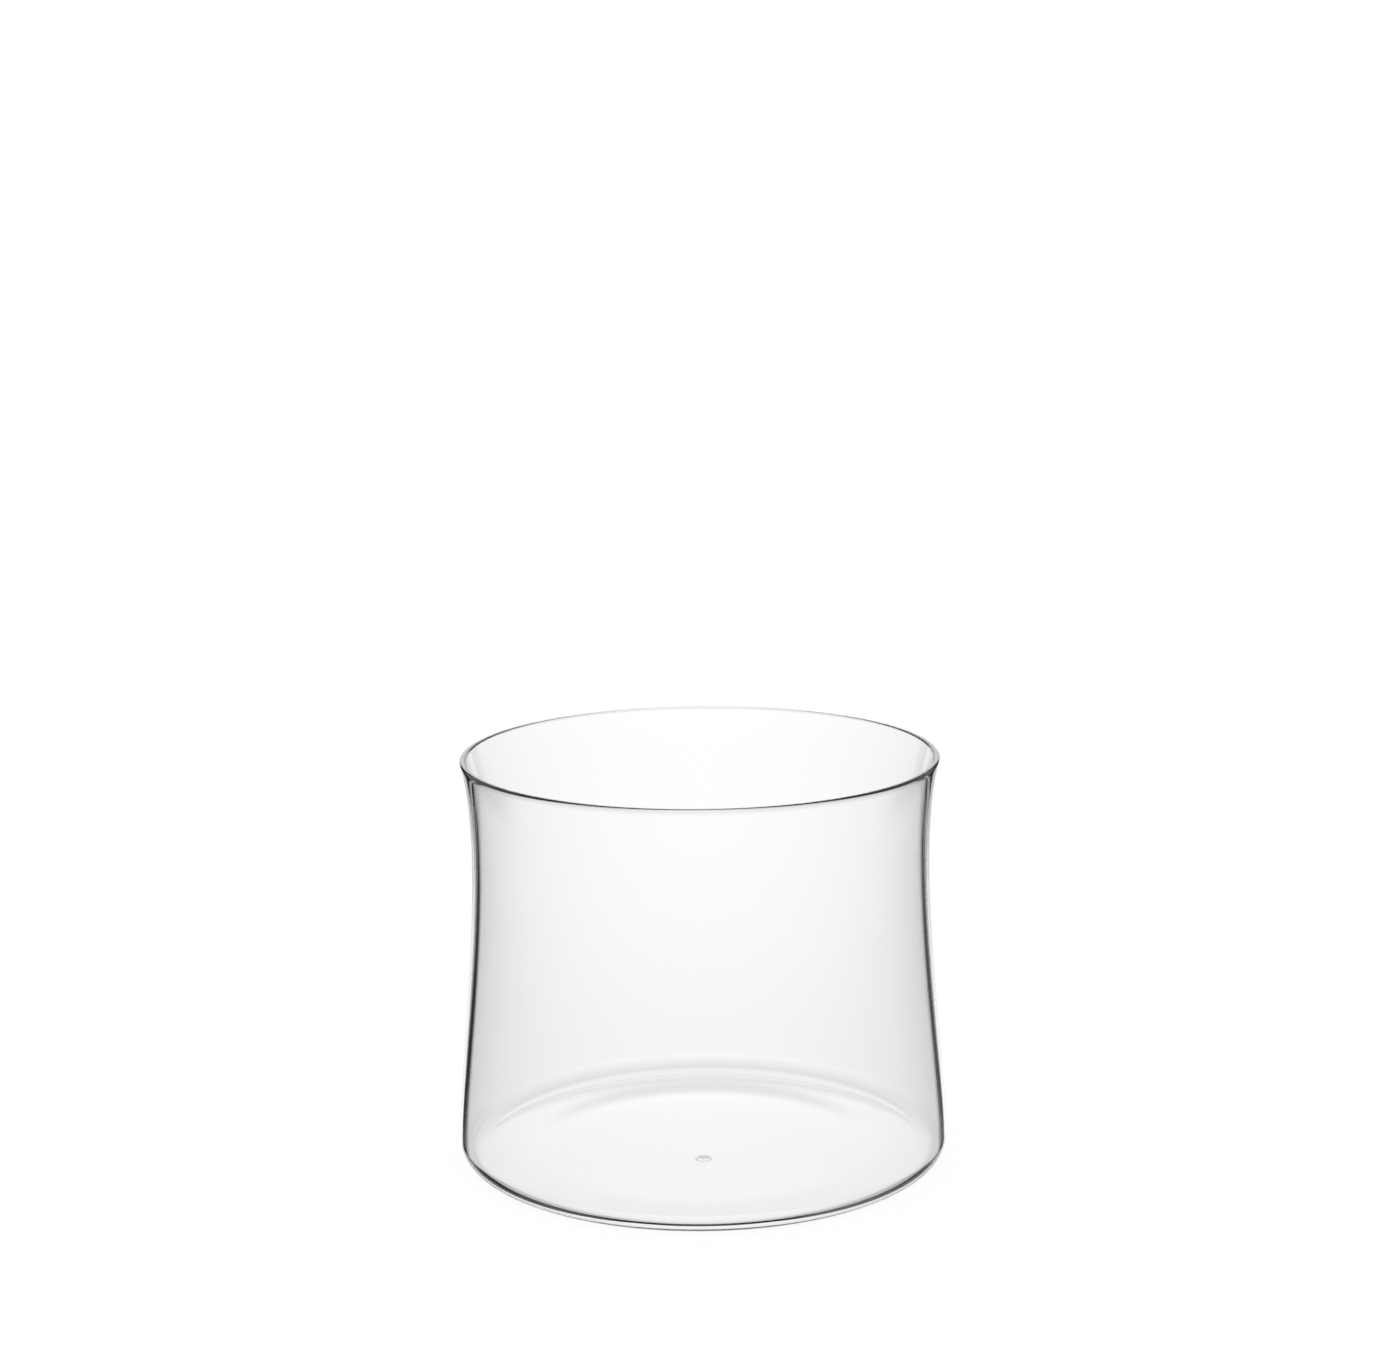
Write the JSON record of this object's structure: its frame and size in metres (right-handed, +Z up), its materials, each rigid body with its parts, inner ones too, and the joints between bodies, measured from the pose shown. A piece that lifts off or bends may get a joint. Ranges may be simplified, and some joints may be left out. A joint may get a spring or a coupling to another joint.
{
  "type": "mixing glass",
  "caption": "Thin blown clear glass vessel with a flared, flat-ground rim, a slight waist, a wide rounded heel and a flat foot.",
  "frame": {"origin": "centre of the foot, on the plane that the glass stands on", "axes": "+Z up along the glass's axis of revolution, from the foot to the mouth"},
  "size_m": [0.114, 0.114, 0.095],
  "materials": {
    "clear_glass": "clear polished blown glass with a faint grey-green tint"
  },
  "bodies": {
    "root": {"glass_vessel": "clear_glass"}
  },
  "joints": []
}
